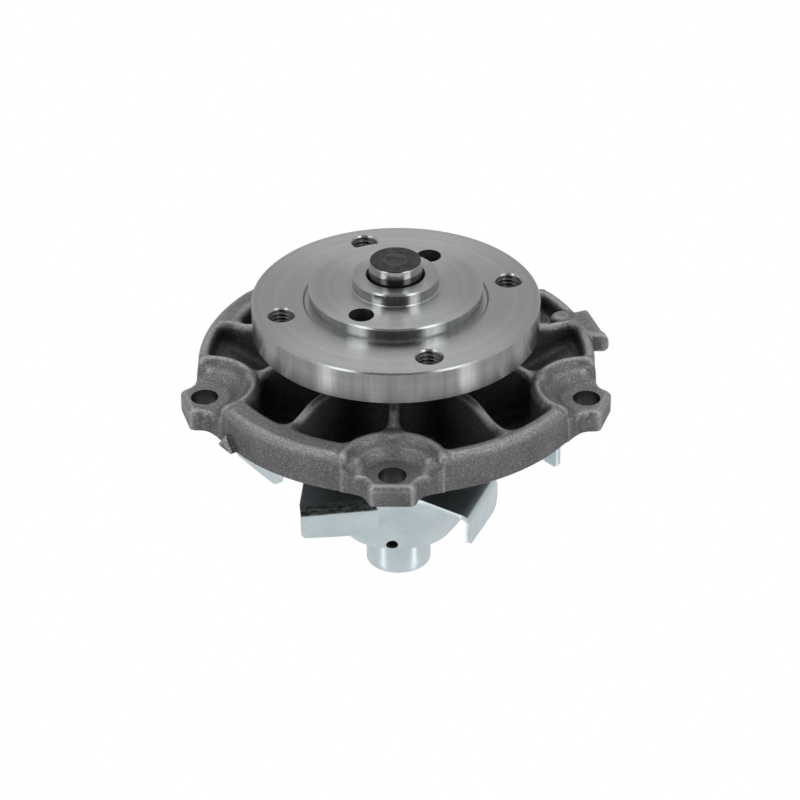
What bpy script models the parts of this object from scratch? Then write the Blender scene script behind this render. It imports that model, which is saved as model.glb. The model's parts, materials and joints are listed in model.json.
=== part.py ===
"""Automotive water pump: a cast-iron housing, a steel drive hub and a pressed-steel impeller on one
bearing shaft. Metres, +Z up. The origin is the centre of the gasket face, on the shaft axis, and +Z
points from the engine to the drive hub. Azimuth 0 is +X. Each piece is its own object."""

import math

import bmesh
import bpy
from mathutils import Matrix, Vector

MM = 0.001
GAP = 0.3 * MM  # clearance between pieces that touch on the real pump

# Facets round a turned piece
LARGE = 48
MEDIUM = 32
SMALL = 20

# Shaft, a standard integral-shaft water-pump bearing
SHAFT_R = 7.96 * MM
SHAFT_TOP = 43.05 * MM
SHAFT_END = -62.5 * MM
SHAFT_CHAMFER = 1.2 * MM

# Drive hub
HUB_BACK = 20.2 * MM
HUB_FACE = 30.14 * MM
HUB_R = 42.95 * MM
HUB_CHAMFER = 0.6 * MM
STEP_R = 25.9 * MM
STEP_TOP = 34.5 * MM
BOSS_R = 12.9 * MM
BOSS_TOP = 38.3 * MM
THREADS = 4
THREAD_CIRCLE_R = 35.05 * MM
THREAD_FIRST = 15.6  # degrees
THREAD_MINOR_R = 3.45 * MM
THREAD_COUNTERSINK_R = 4.65 * MM
PULLER_HOLE_R = 3.75 * MM
PULLER_CIRCLE_R = 19.9 * MM
PULLER_FIRST = 59.7  # degrees

# Housing
RIM_R = 59.6 * MM
RIM_TOP = 11.8 * MM
POCKET_R = 56.2 * MM
FACE_INNER_R = 52.0 * MM
TUBE_TOP = 17.5 * MM
TUBE_R = 20.3 * MM
WEB_ROOT_R = 24.0 * MM
WEB_ROOT_Z = -9.4 * MM
WEB_OUTER_R = 55.0 * MM
WEB_OUTER_Z = 5.0 * MM
WEB_MIDDLE_DEPTH = 2.2 * MM  # from the pocket floor to the middle of the web
SEAL_BOSS_R = 24.0 * MM
SEAL_BOSS_END = -32.0 * MM
BOLTS = 5
BOLT_CIRCLE_R = 59.44 * MM
BOLT_FIRST = -91.4  # degrees
BOLT_HOLE_R = 4.25 * MM
SEAT_TOP = 6.6 * MM
RIDGE_INNER_R = 12.9 * MM
RIDGE_OUTER_R = 17.0 * MM
EAR_FACE_R = 66.0 * MM
EAR_FACE_HALF = 6.0 * MM
RIB_WIDTH = 3.2 * MM
WEEP_AZIMUTH = 106.0
WEEP_R = 2.0 * MM

# Bearing
BEARING_R = 15.0 * MM
BEARING_TOP = 16.8 * MM
BEARING_END = -21.3 * MM
PITCH_R = 10.4 * MM
BALLS = 8
BALL_R = 3.175 * MM
BALL_Z = -11.5 * MM
ROLLERS = 10
ROLLER_R = 2.25 * MM
ROLLER_LENGTH = 11.0 * MM
ROLLER_Z = 5.0 * MM
ROLLER_CLEARANCE = 0.15 * MM
CAGE_INNER_R = 9.65 * MM
CAGE_OUTER_R = 11.15 * MM

# Shaft seal
SEAL_BORE_R = 18.55 * MM
SEAL_TOP = -25.3 * MM
CUP_WALL = 1.0 * MM
SPRING_R = 14.9 * MM
SPRING_WIRE_R = 0.45 * MM
SPRING_TURNS = 2
SEAL_FACE = -39.3 * MM

# Impeller, pressed from one sheet
SHEET = 1.6 * MM
VANES = 6
VANE_FIRST = -64.5  # degrees, azimuth of an arm's outer tip
ARM_R = 50.0 * MM
ARM_TOP = -18.0 * MM
BOWL_RIM_R = 37.3 * MM
VANE_HEIGHT = 10.6 * MM
VANE_SWEEP = 23.0  # degrees from an arm's tip to its vane's inner end
VANE_INNER_R = 38.0 * MM
SHEARED_SWEEP = -13.0
BOWL_FLOOR = -47.8 * MM
BOWL_CORNER_R = 6.2 * MM
COLLAR_MIDDLE_R = 9.27 * MM
COLLAR_END = -63.5 * MM
BALANCE_HOLE_R = 1.9 * MM
BALANCE_HOLE_AZIMUTH = -95.6


def polar(radius, degrees, z=0.0):
    angle = math.radians(degrees)
    return Vector((radius * math.cos(angle), radius * math.sin(angle), z))


def arc(centre, radius, start, end, count):
    """Points (radius, z) on a circle in the turning plane, from one angle in degrees to another."""
    angles = [math.radians(start + (end - start) * i / count) for i in range(count + 1)]
    return [(centre[0] + radius * math.cos(a), centre[1] + radius * math.sin(a)) for a in angles]


# ---------------------------------------------------------------- scene helpers


def clear_scene():
    for obj in list(bpy.data.objects):
        bpy.data.objects.remove(obj, do_unlink=True)


def new_collection(name):
    collection = bpy.data.collections.new(name)
    bpy.context.scene.collection.children.link(collection)
    return collection


def new_material(name, colour, metallic, roughness):
    material = bpy.data.materials.new(name)
    material.use_nodes = True
    shader = material.node_tree.nodes["Principled BSDF"]
    shader.inputs["Base Color"].default_value = (*colour, 1.0)
    shader.inputs["Metallic"].default_value = metallic
    shader.inputs["Roughness"].default_value = roughness
    return material


def new_object(name, data, collection):
    obj = bpy.data.objects.new(name, data)
    collection.objects.link(obj)
    if collection is CUTTERS:
        obj.hide_render = True
        obj.display_type = "WIRE"
    return obj


def finish_piece(obj, colour, metallic, roughness, parent=None):
    """Gives a piece its own material, and its body's empty as parent when it moves."""
    obj.data.materials.clear()
    obj.data.materials.append(new_material(obj.name, colour, metallic, roughness))
    obj.parent = parent
    if obj.type == "MESH":
        obj.data.shade_smooth()
        obj.data.set_sharp_from_angle(angle=math.radians(35))
    return obj


def pivot(name):
    """An empty on the shaft axis that carries the pieces of one moving body."""
    empty = bpy.data.objects.new(name, None)
    empty.empty_display_size = 0.02
    PUMP.objects.link(empty)
    return empty


# ---------------------------------------------------------------- shape helpers


def turned(name, profile, steps, collection, closed=True):
    """A solid of revolution about Z. The profile's points run down its outer side."""
    mesh = bpy.data.meshes.new(name)
    count = len(profile)
    edges = [(i, (i + 1) % count) for i in range(count if closed else count - 1)]
    mesh.from_pydata([(r, 0, z) for r, z in profile], edges, [])
    obj = new_object(name, mesh, collection)
    screw = obj.modifiers.new("turn", "SCREW")
    screw.steps = screw.render_steps = steps
    screw.use_merge_vertices = True
    screw.merge_threshold = 0.000001
    return obj


def ring(name, inner, outer, bottom, top, steps, collection):
    corners = [(outer, top), (outer, bottom), (inner, bottom), (inner, top)]
    return turned(name, corners, steps, collection)


def rod(name, radius, bottom, top, place, collection, sides=16):
    """An upright cylinder at place."""
    mesh = bpy.data.meshes.new(name)
    shape = bmesh.new()
    bmesh.ops.create_cone(
        shape,
        cap_ends=True,
        segments=sides,
        radius1=radius,
        radius2=radius,
        depth=top - bottom,
        matrix=Matrix.Translation((0, 0, (top + bottom) / 2)),
    )
    shape.to_mesh(mesh)
    shape.free()
    obj = new_object(name, mesh, collection)
    obj.location = place
    return obj


def block(name, low, high, azimuth, collection):
    """A box between two corners, turned about the shaft axis."""
    size = Vector(high) - Vector(low)
    middle = (Vector(high) + Vector(low)) / 2
    mesh = bpy.data.meshes.new(name)
    shape = bmesh.new()
    bmesh.ops.create_cube(shape, matrix=Matrix.Translation(middle) @ Matrix.Diagonal((*size, 1)))
    shape.to_mesh(mesh)
    shape.free()
    obj = new_object(name, mesh, collection)
    obj.rotation_euler.z = math.radians(azimuth)
    return obj


def plate(name, outline, bottom, top, collection):
    """A flat outline with a thickness, as a closed mesh."""
    curve = bpy.data.curves.new(name, "CURVE")
    curve.dimensions = "2D"
    curve.fill_mode = "BOTH"
    curve.extrude = (top - bottom) / 2
    spline = curve.splines.new("POLY")
    spline.points.add(len(outline) - 1)
    for point, corner in zip(spline.points, outline):
        point.co = (corner[0], corner[1], 0, 1)
    spline.use_cyclic_u = True
    drawn = new_object(name + "_outline", curve, collection)
    graph = bpy.context.evaluated_depsgraph_get()
    mesh = bpy.data.meshes.new_from_object(drawn.evaluated_get(graph))
    bpy.data.objects.remove(drawn)
    shape = bmesh.new()
    shape.from_mesh(mesh)
    bmesh.ops.remove_doubles(shape, verts=shape.verts, dist=0.000001)
    bmesh.ops.recalc_face_normals(shape, faces=shape.faces)
    shape.to_mesh(mesh)
    shape.free()
    obj = new_object(name, mesh, collection)
    obj.location.z = (top + bottom) / 2
    return obj


def combine(obj, tool, operation):
    boolean = obj.modifiers.new(tool.name, "BOOLEAN")
    boolean.operation = operation
    boolean.solver = "EXACT"
    boolean.object = tool
    return obj


def cut(obj, tool):
    return combine(obj, tool, "DIFFERENCE")


def join(obj, tool):
    return combine(obj, tool, "UNION")


# ---------------------------------------------------------------- housing


def bolt_azimuths():
    return [BOLT_FIRST + k * 360 / BOLTS for k in range(BOLTS)]


def housing_profile():
    """Bearing tube, conical web, rim, gasket face, seal boss and the stepped bore, as one loop."""
    bearing_bore = BEARING_R + GAP
    shoulder_r = 14.0 * MM
    chamber_r = 17.0 * MM
    edge = 0.8 * MM
    outside = [
        (bearing_bore + edge, TUBE_TOP),
        (TUBE_R - edge, TUBE_TOP),
        (TUBE_R, TUBE_TOP - edge),
        (TUBE_R + 1.2 * MM, WEB_ROOT_Z + 2.0 * MM),
        (WEB_ROOT_R, WEB_ROOT_Z),
        (WEB_OUTER_R, WEB_OUTER_Z),
        (POCKET_R, WEB_OUTER_Z + 1.5 * MM),
        (POCKET_R + 0.2 * MM, RIM_TOP - edge),
        (POCKET_R + edge, RIM_TOP),
        (RIM_R - edge, RIM_TOP),
        (RIM_R, RIM_TOP - edge),
        (RIM_R, 0),
    ]
    underside = [
        (FACE_INNER_R, 0),
        (FACE_INNER_R - 0.4 * MM, -1.5 * MM),
        (31.0 * MM, -13.3 * MM),
        (27.2 * MM, -16.4 * MM),
        (25.4 * MM, -20.4 * MM),
        (SEAL_BOSS_R, SEAL_BOSS_END + edge),
        (SEAL_BOSS_R - edge, SEAL_BOSS_END),
    ]
    bore = [
        (SEAL_BORE_R, SEAL_BOSS_END),
        (SEAL_BORE_R, SEAL_TOP + GAP),
        (chamber_r, SEAL_TOP + GAP),
        (chamber_r, BEARING_END - 1.0 * MM),
        (shoulder_r, BEARING_END - 1.0 * MM),
        (shoulder_r, BEARING_END - GAP),
        (bearing_bore, BEARING_END - GAP),
        (bearing_bore, TUBE_TOP - edge),
    ]
    return outside + underside + bore


def web_envelope():
    """The space that ribs and ridges may fill: above the middle of the web and under their tops."""
    top = [
        (17.6 * MM, 17.0 * MM),
        (21.0 * MM, 16.0 * MM),
        (36.5 * MM, 14.6 * MM),
        (50.5 * MM, RIM_TOP - 0.3 * MM),
        (58.4 * MM, RIM_TOP - 0.3 * MM),
    ]
    bottom = [
        (58.4 * MM, WEB_OUTER_Z - WEB_MIDDLE_DEPTH),
        (WEB_OUTER_R, WEB_OUTER_Z - WEB_MIDDLE_DEPTH),
        (WEB_ROOT_R, WEB_ROOT_Z - WEB_MIDDLE_DEPTH),
        (17.6 * MM, WEB_ROOT_Z - WEB_MIDDLE_DEPTH),
    ]
    return turned("web_envelope", top + bottom, MEDIUM, CUTTERS)


def sector(name, inner, outer, start, end, bottom, top):
    """Part of a ring between two azimuths, for a wall that is thicker there."""
    count = max(2, round(abs(end - start) / 6))
    angles = [start + (end - start) * i / count for i in range(count + 1)]
    outline = [polar(outer, a) for a in angles] + [polar(inner, a) for a in reversed(angles)]
    return plate(name, outline, bottom, top, CUTTERS)


def add_ribs(housing, envelope):
    """A rib from the tube to each bolt ridge, and one to the rim midway between two bolts."""
    half_pitch = 180 / BOLTS
    for k, azimuth in enumerate(bolt_azimuths()):
        for label, turn, reach in (("ridge", 0, 44.5 * MM), ("rim", half_pitch, 58.6 * MM)):
            low = (17.0 * MM, -RIB_WIDTH / 2, -20.0 * MM)
            high = (reach, RIB_WIDTH / 2, 20.0 * MM)
            rib = block(f"{label}_rib_{k}", low, high, azimuth + turn, CUTTERS)
            combine(rib, envelope, "INTERSECT")
            join(housing, rib)


def add_bolt_bosses(housing, envelope):
    """Round each bolt the rim wall turns inward in a U. A scoop inside it falls to the bolt's seat."""
    scoop_profile = [
        (0, 25.0 * MM),
        (RIDGE_INNER_R, 25.0 * MM),
        (RIDGE_INNER_R, RIM_TOP - 0.6 * MM),
        (12.3 * MM, 9.7 * MM),
        (10.9 * MM, 9.1 * MM),
        (8.6 * MM, SEAT_TOP),
        (0, SEAT_TOP),
    ]
    for k, azimuth in enumerate(bolt_azimuths()):
        place = polar(BOLT_CIRCLE_R, azimuth)
        top = RIM_TOP - 0.15 * MM
        boss = rod(f"boss_{k}", RIDGE_OUTER_R, -12.0 * MM, top, place, CUTTERS, SMALL)
        combine(boss, envelope, "INTERSECT")
        join(housing, boss)
    for k, azimuth in enumerate(bolt_azimuths()):
        scoop = turned(f"scoop_{k}", scoop_profile, SMALL, CUTTERS, closed=False)
        scoop.location = polar(BOLT_CIRCLE_R, azimuth)
        cut(housing, scoop)


def add_ears(housing):
    half = EAR_FACE_HALF
    side = [(EAR_FACE_R, half), (64.8 * MM, half + 0.8 * MM), (62.4 * MM, half + 1.4 * MM)]
    side += [(60.4 * MM, half + 3.0 * MM), (58.6 * MM, half + 5.6 * MM)]
    root = [(54.5 * MM, half + 6.4 * MM)]
    outline = side + root + [(r, -s) for r, s in reversed(side + root)]
    for k, azimuth in enumerate(bolt_azimuths()):
        ear = plate(f"ear_{k}", outline, 0, SEAT_TOP, CUTTERS)
        ear.rotation_euler.z = math.radians(azimuth)
        join(housing, ear)
    for k, azimuth in enumerate(bolt_azimuths()):
        place = polar(BOLT_CIRCLE_R, azimuth)
        cut(housing, rod(f"bolt_hole_{k}", BOLT_HOLE_R, -5 * MM, 20 * MM, place, CUTTERS))


def add_rim_features(housing, envelope):
    """Wider stretches of rim, a flat tab under the top edge, and a small wedge by the gasket face."""
    for name, inner, start, end in (
        ("front_left_land", 51.0 * MM, -150.0, -106.0),
        ("front_right_land", 54.6 * MM, -78.0, -34.0),
        ("back_left_land", 51.8 * MM, 138.0, 157.5),
    ):
        land = sector(name, inner, 58.2 * MM, start, end, -12.0 * MM, RIM_TOP - 0.25 * MM)
        combine(land, envelope, "INTERSECT")
        join(housing, land)
    join(housing, sector("tab", 57.6 * MM, 65.0 * MM, 6.6, 23.0, 6.1 * MM, RIM_TOP - 0.1 * MM))
    join(housing, rim_wedge())


def rim_wedge():
    """A small pyramid-like lug: a triangle faces outward, with a steep flat end on its right."""
    low_left, low_right, peak = (61.7 * MM, -148.4), (61.5 * MM, -142.1), (60.8 * MM, -145.8)
    root = 57.8 * MM
    top = 4.0 * MM
    corners = [
        polar(*low_left),
        polar(*low_right),
        polar(*peak) + Vector((0, 0, top)),
        polar(root, -148.9),
        polar(root, -142.0),
        polar(root, -145.2) + Vector((0, 0, top)),
    ]
    faces = [(0, 1, 2), (3, 5, 4), (0, 3, 4, 1), (1, 4, 5, 2), (2, 5, 3, 0)]
    mesh = bpy.data.meshes.new("rim_wedge")
    mesh.from_pydata(corners, [], faces)
    return new_object("rim_wedge", mesh, CUTTERS)


def cut_weep_hole(housing):
    """A drilled hole from a pocket's floor down into the chamber between bearing and seal."""
    low = Vector((16.6, 0, -23.6)) * MM
    high = Vector((27.6, 0, -6.5)) * MM
    tool = rod("weep_drill", WEEP_R, 0, (high - low).length, low, CUTTERS, 16)
    lean = math.atan2(high.x - low.x, high.z - low.z)
    turn = math.radians(WEEP_AZIMUTH)
    tool.location = Matrix.Rotation(turn, 4, "Z") @ low
    tool.rotation_euler = (0, lean, turn)
    cut(housing, tool)


def build_housing():
    housing = turned("pump_housing", housing_profile(), LARGE, PUMP)
    envelope = web_envelope()
    add_bolt_bosses(housing, envelope)
    add_ribs(housing, envelope)
    add_rim_features(housing, envelope)
    add_ears(housing)
    cut_weep_hole(housing)
    finish_piece(housing, (0.115, 0.115, 0.12), 0.55, 0.62)


# ---------------------------------------------------------------- hub and shaft


def build_hub(rotor):
    bore = SHAFT_R + GAP
    groove_r = STEP_R + 1.3 * MM
    groove_z = HUB_FACE - 0.5 * MM
    chamfer = HUB_CHAMFER
    profile = [
        (bore + 1.4 * MM, BOSS_TOP),
        (BOSS_R - chamfer, BOSS_TOP),
        (BOSS_R, BOSS_TOP - chamfer),
        (BOSS_R, STEP_TOP),
        (STEP_R - chamfer, STEP_TOP),
        (STEP_R, STEP_TOP - chamfer),
        (STEP_R, groove_z),
        (groove_r, groove_z),
        (groove_r + 0.5 * MM, HUB_FACE),
        (HUB_R - chamfer, HUB_FACE),
        (HUB_R, HUB_FACE - chamfer),
        (HUB_R, HUB_BACK + chamfer),
        (HUB_R - chamfer, HUB_BACK),
        (bore + chamfer, HUB_BACK),
        (bore, HUB_BACK + chamfer),
        (bore, BOSS_TOP - 1.4 * MM),
    ]
    hub = turned("drive_hub", profile, LARGE, PUMP)
    past = 1.0 * MM
    sink_depth = THREAD_COUNTERSINK_R - THREAD_MINOR_R
    drill = [
        (0, HUB_FACE + past),
        (THREAD_COUNTERSINK_R + past, HUB_FACE + past),
        (THREAD_MINOR_R, HUB_FACE - sink_depth),
        (THREAD_MINOR_R, HUB_BACK - past),
        (0, HUB_BACK - past),
    ]
    for k in range(THREADS):
        hole = turned(f"thread_{k}", drill, 16, CUTTERS, closed=False)
        hole.location = polar(THREAD_CIRCLE_R, THREAD_FIRST + k * 360 / THREADS)
        cut(hub, hole)
    for k in range(2):
        place = polar(PULLER_CIRCLE_R, PULLER_FIRST + 180 * k)
        low, high = HUB_BACK - past, STEP_TOP + past
        cut(hub, rod(f"puller_{k}", PULLER_HOLE_R, low, high, place, CUTTERS))
    finish_piece(hub, (0.42, 0.43, 0.42), 1.0, 0.27, rotor)


def build_shaft(rotor):
    """One bar from the hub to the impeller, with a groove ground in it for the balls."""
    clearance = 0.22 * MM
    reach = BALL_R + clearance
    dip = math.degrees(math.acos((PITCH_R - SHAFT_R) / reach))
    groove = arc((PITCH_R, BALL_Z), reach, 180 - dip, 180 + dip, 4)
    profile = [
        (0, SHAFT_TOP),
        (SHAFT_R - SHAFT_CHAMFER, SHAFT_TOP),
        (SHAFT_R, SHAFT_TOP - SHAFT_CHAMFER),
        *groove,
        (SHAFT_R, SHAFT_END + SHAFT_CHAMFER),
        (SHAFT_R - SHAFT_CHAMFER, SHAFT_END),
        (0, SHAFT_END),
    ]
    shaft = turned("bearing_shaft", profile, MEDIUM, PUMP, closed=False)
    finish_piece(shaft, (0.2, 0.2, 0.2), 1.0, 0.25, rotor)


# ---------------------------------------------------------------- bearing


def build_outer_ring():
    """The ring that the housing holds: a ball groove, a roller track and a seat for each seal."""
    land_r = 12.5 * MM
    seat_r = 13.4 * MM
    seat_depth = 3.0 * MM
    edge = 0.5 * MM
    track_r = PITCH_R + ROLLER_R + ROLLER_CLEARANCE
    track_half = ROLLER_LENGTH / 2 + 1.8 * MM
    reach = BALL_R + 0.22 * MM
    dip = math.degrees(math.acos((land_r - PITCH_R) / reach))
    profile = [
        (seat_r, BEARING_TOP),
        (BEARING_R - edge, BEARING_TOP),
        (BEARING_R, BEARING_TOP - edge),
        (BEARING_R, BEARING_END + edge),
        (BEARING_R - edge, BEARING_END),
        (seat_r, BEARING_END),
        (seat_r, BEARING_END + seat_depth),
        (land_r, BEARING_END + seat_depth),
        *arc((PITCH_R, BALL_Z), reach, -dip, dip, 4),
        (land_r, ROLLER_Z - track_half),
        (track_r, ROLLER_Z - track_half),
        (track_r, ROLLER_Z + track_half),
        (land_r, ROLLER_Z + track_half),
        (land_r, BEARING_TOP - seat_depth),
        (seat_r, BEARING_TOP - seat_depth),
    ]
    ring_object = turned("bearing_outer_ring", profile, MEDIUM, PUMP)
    finish_piece(ring_object, (0.5, 0.5, 0.5), 1.0, 0.2)


def build_bearing_seals():
    """A flat rubber seal at each end of the bearing, with a lip that stands off the shaft."""
    outer = 13.4 * MM - GAP
    lip = SHAFT_R + GAP
    inset = 0.7 * MM
    thickness = 2.0 * MM
    for name, face, inward in (
        ("bearing_front_seal", BEARING_TOP - inset, -1),
        ("bearing_rear_seal", BEARING_END + inset, 1),
    ):
        low, high = sorted((face, face + inward * thickness))
        seal = ring(name, lip, outer, low, high, SMALL, PUMP)
        finish_piece(seal, (0.02, 0.02, 0.02), 0.0, 0.6)


def shared_copies(first, count, place):
    """Copies of a rolling element that share its mesh, evenly spaced about the shaft."""
    pieces = [first]
    for k in range(1, count):
        copy = bpy.data.objects.new(f"{first.name[:-2]}_{k + 1}", first.data)
        PUMP.objects.link(copy)
        copy.parent = first.parent
        pieces.append(copy)
    for k, piece in enumerate(pieces):
        piece.location = polar(PITCH_R, k * 360 / count, place)


def build_ball_row(train):
    width = 9.2 * MM
    low, high = BALL_Z - width / 2, BALL_Z + width / 2
    cage = ring("ball_cage", CAGE_INNER_R, CAGE_OUTER_R, low, high, MEDIUM, PUMP)
    for k in range(BALLS):
        place = polar(PITCH_R, k * 360 / BALLS, BALL_Z)
        pocket = rod(f"ball_pocket_{k}", BALL_R + GAP, -3 * MM, 3 * MM, place, CUTTERS)
        pocket.rotation_euler = (0, math.pi / 2, math.radians(k * 360 / BALLS))
        cut(cage, pocket)
    finish_piece(cage, (0.35, 0.25, 0.12), 0.0, 0.45, train)
    bpy.ops.mesh.primitive_uv_sphere_add(segments=12, ring_count=6, radius=BALL_R)
    ball = bpy.context.object
    adopt(ball, "ball_1")
    finish_piece(ball, (0.6, 0.6, 0.6), 1.0, 0.08, train)
    shared_copies(ball, BALLS, BALL_Z)


def build_roller_row(train):
    width = ROLLER_LENGTH + 3.2 * MM
    low, high = ROLLER_Z - width / 2, ROLLER_Z + width / 2
    cage = ring("roller_cage", CAGE_INNER_R, CAGE_OUTER_R, low, high, MEDIUM, PUMP)
    side = ROLLER_R + GAP
    end = ROLLER_LENGTH / 2 + GAP
    for k in range(ROLLERS):
        window = block(
            f"roller_window_{k}",
            (8 * MM, -side, ROLLER_Z - end),
            (13 * MM, side, ROLLER_Z + end),
            k * 360 / ROLLERS,
            CUTTERS,
        )
        cut(cage, window)
    finish_piece(cage, (0.35, 0.25, 0.12), 0.0, 0.45, train)
    bpy.ops.mesh.primitive_cylinder_add(vertices=14, radius=ROLLER_R, depth=ROLLER_LENGTH)
    roller = bpy.context.object
    adopt(roller, "roller_1")
    finish_piece(roller, (0.6, 0.6, 0.6), 1.0, 0.12, train)
    shared_copies(roller, ROLLERS, ROLLER_Z)


def adopt(obj, name):
    """Moves an object that an operator made into the pump's collection."""
    for collection in list(obj.users_collection):
        collection.objects.unlink(obj)
    PUMP.objects.link(obj)
    obj.name = obj.data.name = name


# ---------------------------------------------------------------- shaft seal


def build_seal_cup():
    """A pressed cup in the housing's boss: closed towards the bearing, flanged at the boss's end."""
    wall_r = SEAL_BORE_R - GAP
    flange_top = SEAL_BOSS_END - GAP
    flange_r = 20.8 * MM
    shaft_hole = 9.8 * MM
    profile = [
        (shaft_hole, SEAL_TOP),
        (wall_r - 0.6 * MM, SEAL_TOP),
        (wall_r, SEAL_TOP - 0.6 * MM),
        (wall_r, flange_top),
        (flange_r, flange_top),
        (flange_r, flange_top - CUP_WALL),
        (wall_r - CUP_WALL, flange_top - CUP_WALL),
        (wall_r - CUP_WALL, SEAL_TOP - CUP_WALL),
        (shaft_hole, SEAL_TOP - CUP_WALL),
    ]
    cup = turned("seal_cup", profile, SMALL, PUMP)
    finish_piece(cup, (0.6, 0.45, 0.2), 1.0, 0.3)


def build_seal_stator():
    """The parts inside the cup: bellows, its clamp ring, the spring and the carbon ring."""
    under_cup = SEAL_TOP - CUP_WALL - GAP
    bellows_end = -34.0 * MM
    profile = [
        (9.2 * MM, under_cup),
        (13.2 * MM, under_cup),
        (13.2 * MM, under_cup - 1.4 * MM),
        (10.6 * MM, under_cup - 1.8 * MM),
        (11.4 * MM, -30.0 * MM),
        (10.6 * MM, bellows_end + 1.7 * MM),
        (15.4 * MM, bellows_end + 1.4 * MM),
        (15.4 * MM, bellows_end),
        (9.2 * MM, bellows_end),
    ]
    bellows = turned("seal_bellows", profile, SMALL, PUMP)
    finish_piece(bellows, (0.02, 0.02, 0.02), 0.0, 0.7)
    clamp_low = under_cup - 1.4 * MM
    clamp = ring("bellows_clamp_ring", 13.5 * MM, 16.6 * MM, clamp_low, under_cup, SMALL, PUMP)
    finish_piece(clamp, (0.6, 0.6, 0.58), 1.0, 0.35)
    carbon_profile = [
        (10.0 * MM, bellows_end - GAP),
        (15.4 * MM, bellows_end - GAP),
        (15.4 * MM, -37.4 * MM),
        (13.6 * MM, -37.6 * MM),
        (13.4 * MM, SEAL_FACE + GAP),
        (11.4 * MM, SEAL_FACE + GAP),
        (11.2 * MM, -37.6 * MM),
        (10.0 * MM, -37.4 * MM),
    ]
    carbon = turned("seal_carbon_ring", carbon_profile, SMALL, PUMP)
    finish_piece(carbon, (0.03, 0.03, 0.03), 0.1, 0.35)
    build_spring(clamp_low - GAP - SPRING_WIRE_R, bellows_end + 1.4 * MM + GAP + SPRING_WIRE_R)


def build_spring(top, bottom):
    points_a_turn = 12
    count = round(SPRING_TURNS * points_a_turn)
    curve = bpy.data.curves.new("seal_spring", "CURVE")
    curve.dimensions = "3D"
    curve.bevel_depth = SPRING_WIRE_R
    curve.bevel_resolution = 1
    curve.use_fill_caps = True
    spline = curve.splines.new("POLY")
    spline.points.add(count)
    for i, point in enumerate(spline.points):
        turn = 360 * i / points_a_turn
        point.co = (*polar(SPRING_R, turn, top + (bottom - top) * i / count), 1)
    spring = new_object("seal_spring", curve, PUMP)
    finish_piece(spring, (0.6, 0.6, 0.58), 1.0, 0.3)


def build_seal_rotor(rotor):
    """The parts that turn: the ceramic seat, the rubber cup that drives it, and the slinger."""
    seat_end = SEAL_FACE - 4.0 * MM
    seat = ring("seal_seat_ring", 10.4 * MM, 15.6 * MM, seat_end, SEAL_FACE, SMALL, PUMP)
    finish_piece(seat, (0.85, 0.83, 0.78), 0.0, 0.25, rotor)
    inner = SHAFT_R + GAP
    neck = 10.4 * MM - GAP
    cup_end = seat_end - 1.7 * MM
    profile = [
        (inner, SEAL_FACE - 0.6 * MM),
        (neck, SEAL_FACE - 0.6 * MM),
        (neck, seat_end - GAP),
        (16.2 * MM, seat_end - GAP),
        (16.2 * MM, cup_end),
        (inner, cup_end),
    ]
    cup = turned("seal_seat_cup", profile, SMALL, PUMP)
    finish_piece(cup, (0.02, 0.02, 0.02), 0.0, 0.7, rotor)
    low = BEARING_END - 2.2 * MM
    slinger = ring("shaft_slinger", inner, 13.0 * MM, low, low + 1.1 * MM, SMALL, PUMP)
    finish_piece(slinger, (0.03, 0.03, 0.03), 0.0, 0.6, rotor)


# ---------------------------------------------------------------- impeller


def build_bowl():
    """The dished middle of the impeller and its collar, as a turned sheet with thickness."""
    middle = ARM_TOP - SHEET / 2
    corner = (15.2 * MM, BOWL_FLOOR + BOWL_CORNER_R)
    profile = [
        (BOWL_RIM_R, middle),
        (BOWL_RIM_R - 1.2 * MM, middle),
        (BOWL_RIM_R - 2.2 * MM, middle - 0.9 * MM),
        *arc(corner, BOWL_CORNER_R, -30, -90, 4),
        (COLLAR_MIDDLE_R + 1.0 * MM, BOWL_FLOOR),
        (COLLAR_MIDDLE_R, BOWL_FLOOR - 1.0 * MM),
        (COLLAR_MIDDLE_R, COLLAR_END),
    ]
    bowl = turned("impeller", profile, MEDIUM, PUMP, closed=False)
    solidify = bowl.modifiers.new("sheet", "SOLIDIFY")
    solidify.thickness = SHEET
    solidify.offset = 0
    return bowl


def build_impeller(rotor):
    """Six flat arms round the bowl. Each has one sheared edge and one edge bent down as a vane."""
    impeller = build_bowl()
    middle = ARM_TOP - SHEET / 2
    thickness = SHEET - 0.1 * MM
    for k in range(VANES):
        tip_azimuth = VANE_FIRST + k * 360 / VANES
        tip = polar(ARM_R, tip_azimuth)
        inner_end = polar(VANE_INNER_R, tip_azimuth + VANE_SWEEP)
        sheared_end = polar(BOWL_RIM_R - 0.5 * MM, tip_azimuth + SHEARED_SWEEP)
        root = [polar(36.4 * MM, tip_azimuth + a) for a in (17, 8, -1, -10)]
        outline = [tip, inner_end, *root, sheared_end]
        low, high = middle - thickness / 2, middle + thickness / 2
        join(impeller, plate(f"arm_{k}", outline, low, high, CUTTERS))
        along = inner_end - tip
        vane = block(
            f"vane_{k}",
            (0, 0.02 * MM, -VANE_HEIGHT),
            (along.length, thickness, -0.1 * MM),
            math.degrees(math.atan2(along.y, along.x)),
            CUTTERS,
        )
        vane.location = tip + Vector((0, 0, ARM_TOP))
        join(impeller, vane)
    place = polar(21.6 * MM, BALANCE_HOLE_AZIMUTH, -43.8 * MM)
    hole = rod("balance_hole", BALANCE_HOLE_R, -4 * MM, 4 * MM, place, CUTTERS)
    hole.rotation_euler = (0, math.radians(120), math.radians(BALANCE_HOLE_AZIMUTH))
    cut(impeller, hole)
    finish_piece(impeller, (0.55, 0.6, 0.62), 1.0, 0.3, rotor)


# ---------------------------------------------------------------- the pump

clear_scene()
PUMP = new_collection("water_pump")
CUTTERS = new_collection("cutters")

build_housing()
build_outer_ring()
build_bearing_seals()
build_seal_cup()
build_seal_stator()

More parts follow.
